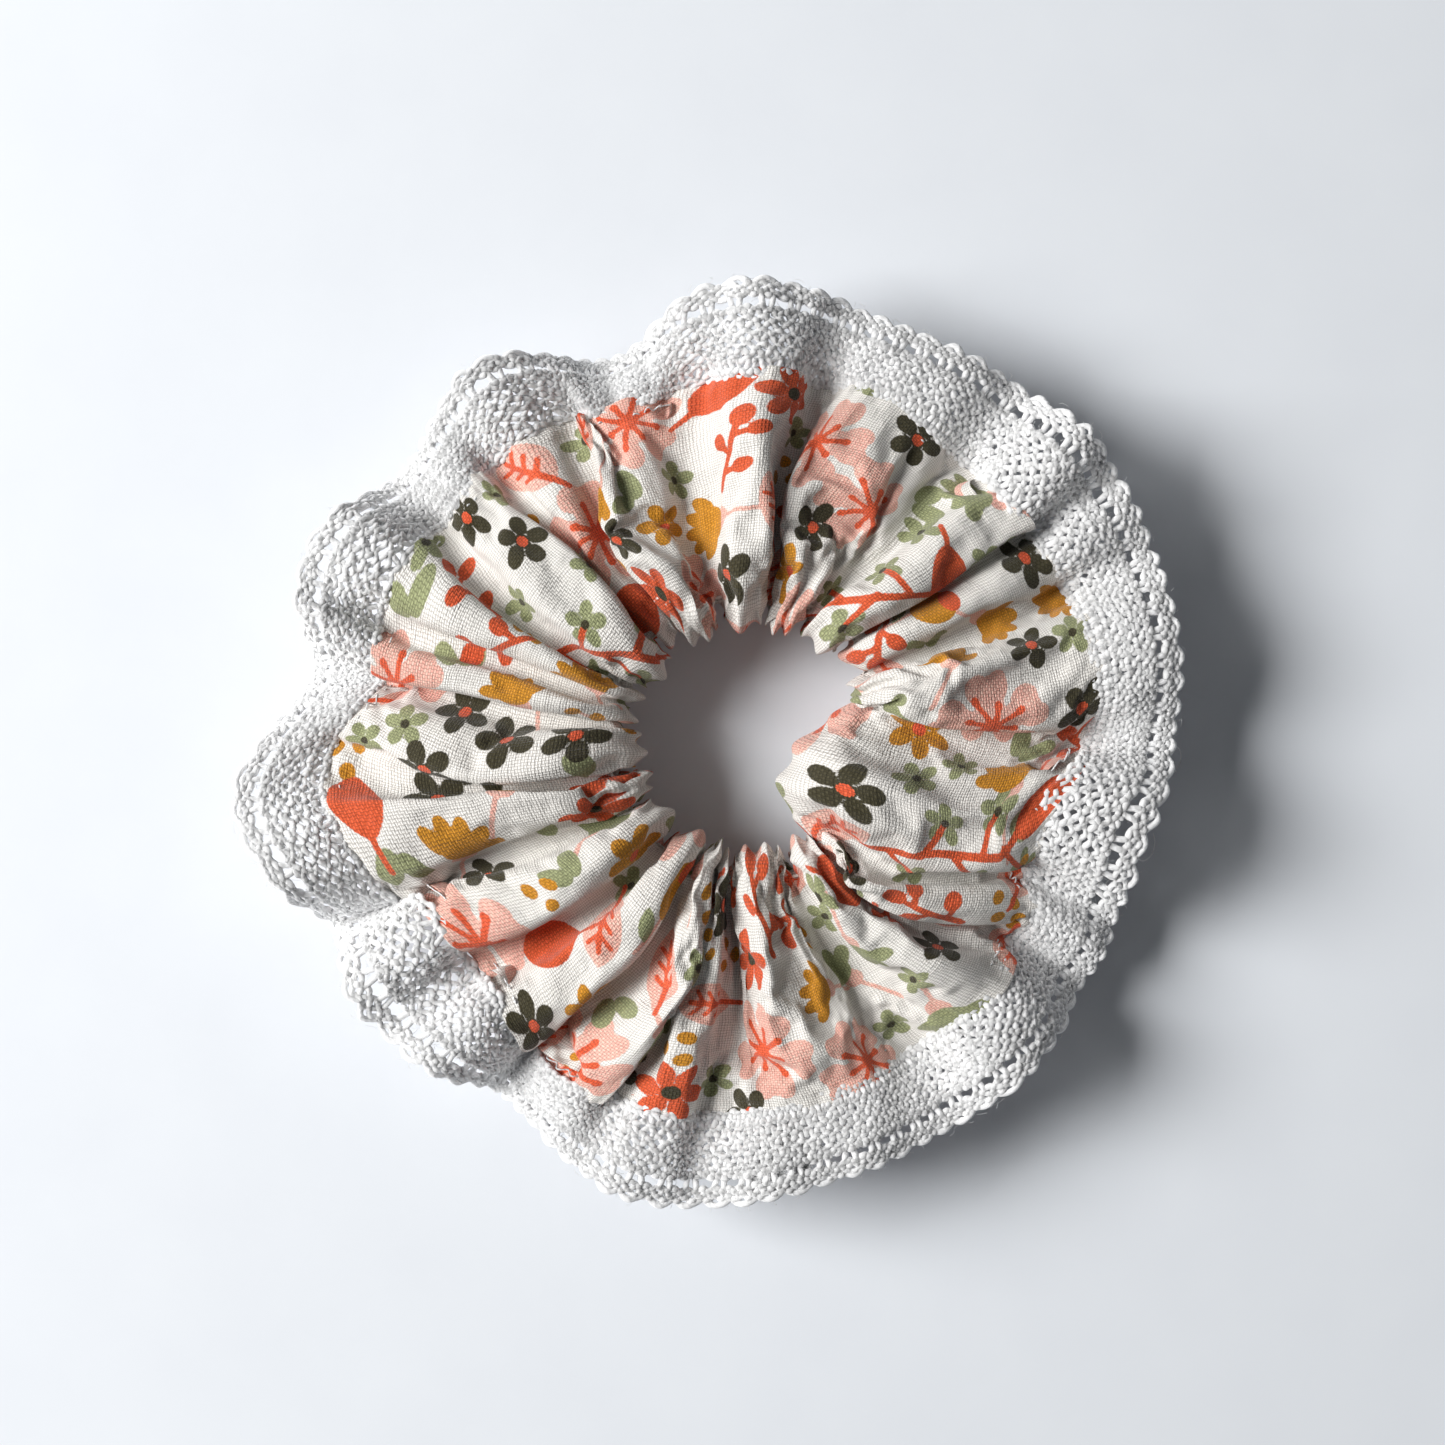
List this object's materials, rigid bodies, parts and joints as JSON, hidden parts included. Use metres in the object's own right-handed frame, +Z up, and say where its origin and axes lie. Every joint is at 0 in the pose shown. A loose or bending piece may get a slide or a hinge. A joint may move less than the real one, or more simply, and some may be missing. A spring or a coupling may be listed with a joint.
{
  "type": "scrunchie",
  "caption": "Stretchy hair tie of floral cotton gathered round an elastic loop, with a ruffled lace trim in its outer seam.",
  "frame": {"origin": "middle of the hair opening, on the surface that the relaxed scrunchie lies on", "axes": "+Z up out of the opening, -Y towards the sewn join of the ring, +X to the right of it seen from above"},
  "size_m": [0.1302, 0.1302, 0.0268],
  "materials": {
    "cotton": "matt plain-weave cotton, off-white, with a small scattered floral print",
    "lace": "white cotton yarn lace, openwork, slightly hairy",
    "elastic": "white braided flat elastic with lengthwise ribs",
    "thread": "white twisted sewing thread"
  },
  "bodies": {
    "join": {"casing_gather_join": "cotton", "lace_ruffle_join": "lace", "elastic_link_join": "elastic", "seam_stitches_join": "thread", "elastic_lapped_end": "elastic", "elastic_tack_stitches": "thread", "lace_lapped_end": "lace", "closing_stitches": "thread"},
    "a1": {"casing_gather_a1": "cotton", "lace_ruffle_a1": "lace", "elastic_link_a1": "elastic", "seam_stitches_a1": "thread"},
    "b1": {"casing_gather_b1": "cotton", "lace_ruffle_b1": "lace", "elastic_link_b1": "elastic", "seam_stitches_b1": "thread"},
    "a2": {"casing_gather_a2": "cotton", "lace_ruffle_a2": "lace", "elastic_link_a2": "elastic", "seam_stitches_a2": "thread"},
    "b2": {"casing_gather_b2": "cotton", "lace_ruffle_b2": "lace", "elastic_link_b2": "elastic", "seam_stitches_b2": "thread"},
    "a3": {"casing_gather_a3": "cotton", "lace_ruffle_a3": "lace", "elastic_link_a3": "elastic", "seam_stitches_a3": "thread"},
    "b3": {"casing_gather_b3": "cotton", "lace_ruffle_b3": "lace", "elastic_link_b3": "elastic", "seam_stitches_b3": "thread"},
    "a4": {"casing_gather_a4": "cotton", "lace_ruffle_a4": "lace", "elastic_link_a4": "elastic", "seam_stitches_a4": "thread"},
    "b4": {"casing_gather_b4": "cotton", "lace_ruffle_b4": "lace", "elastic_link_b4": "elastic", "seam_stitches_b4": "thread"},
    "a5": {"casing_gather_a5": "cotton", "lace_ruffle_a5": "lace", "elastic_link_a5": "elastic", "seam_stitches_a5": "thread"},
    "b5": {"casing_gather_b5": "cotton", "lace_ruffle_b5": "lace", "elastic_link_b5": "elastic", "seam_stitches_b5": "thread"},
    "a6": {"casing_gather_a6": "cotton", "lace_ruffle_a6": "lace", "elastic_link_a6": "elastic", "seam_stitches_a6": "thread"},
    "b6": {"casing_gather_b6": "cotton", "lace_ruffle_b6": "lace", "elastic_link_b6": "elastic", "seam_stitches_b6": "thread"}
  },
  "joints": [
    {"name": "stretch_a1", "type": "slide", "parent": "join", "child": "a1", "axis": [0.9659, 0.2588, 0], "range_m": [0, 0.0129], "stiffness_N_per_m": 30},
    {"name": "stretch_a2", "type": "slide", "parent": "a1", "child": "a2", "axis": [0.7071, 0.7071, 0], "range_m": [0, 0.0129]},
    {"name": "stretch_a3", "type": "slide", "parent": "a2", "child": "a3", "axis": [0.2588, 0.9659, 0], "range_m": [0, 0.0129]},
    {"name": "stretch_a4", "type": "slide", "parent": "a3", "child": "a4", "axis": [-0.2588, 0.9659, 0], "range_m": [0, 0.0129]},
    {"name": "stretch_a5", "type": "slide", "parent": "a4", "child": "a5", "axis": [-0.7071, 0.7071, 0], "range_m": [0, 0.0129]},
    {"name": "stretch_a6", "type": "slide", "parent": "a5", "child": "a6", "axis": [-0.9659, 0.2588, 0], "range_m": [0, 0.0129]},
    {"name": "stretch_b1", "type": "slide", "parent": "join", "child": "b1", "axis": [-0.9659, 0.2588, 0], "range_m": [0, 0.0129]},
    {"name": "stretch_b2", "type": "slide", "parent": "b1", "child": "b2", "axis": [-0.7071, 0.7071, 0], "range_m": [0, 0.0129]},
    {"name": "stretch_b3", "type": "slide", "parent": "b2", "child": "b3", "axis": [-0.2588, 0.9659, 0], "range_m": [0, 0.0129]},
    {"name": "stretch_b4", "type": "slide", "parent": "b3", "child": "b4", "axis": [0.2588, 0.9659, 0], "range_m": [0, 0.0129]},
    {"name": "stretch_b5", "type": "slide", "parent": "b4", "child": "b5", "axis": [0.7071, 0.7071, 0], "range_m": [0, 0.0129]},
    {"name": "stretch_b6", "type": "slide", "parent": "b5", "child": "b6", "axis": [0.9659, 0.2588, 0], "range_m": [0, 0.0129]}
  ],
  "couplings": [
    {"joint": "stretch_a2", "follows": "stretch_a1", "ratio": 1},
    {"joint": "stretch_a3", "follows": "stretch_a1", "ratio": 1},
    {"joint": "stretch_a4", "follows": "stretch_a1", "ratio": 1},
    {"joint": "stretch_a5", "follows": "stretch_a1", "ratio": 1},
    {"joint": "stretch_a6", "follows": "stretch_a1", "ratio": 1},
    {"joint": "stretch_b1", "follows": "stretch_a1", "ratio": 1},
    {"joint": "stretch_b2", "follows": "stretch_a1", "ratio": 1},
    {"joint": "stretch_b3", "follows": "stretch_a1", "ratio": 1},
    {"joint": "stretch_b4", "follows": "stretch_a1", "ratio": 1},
    {"joint": "stretch_b5", "follows": "stretch_a1", "ratio": 1},
    {"joint": "stretch_b6", "follows": "stretch_a1", "ratio": 1}
  ]
}
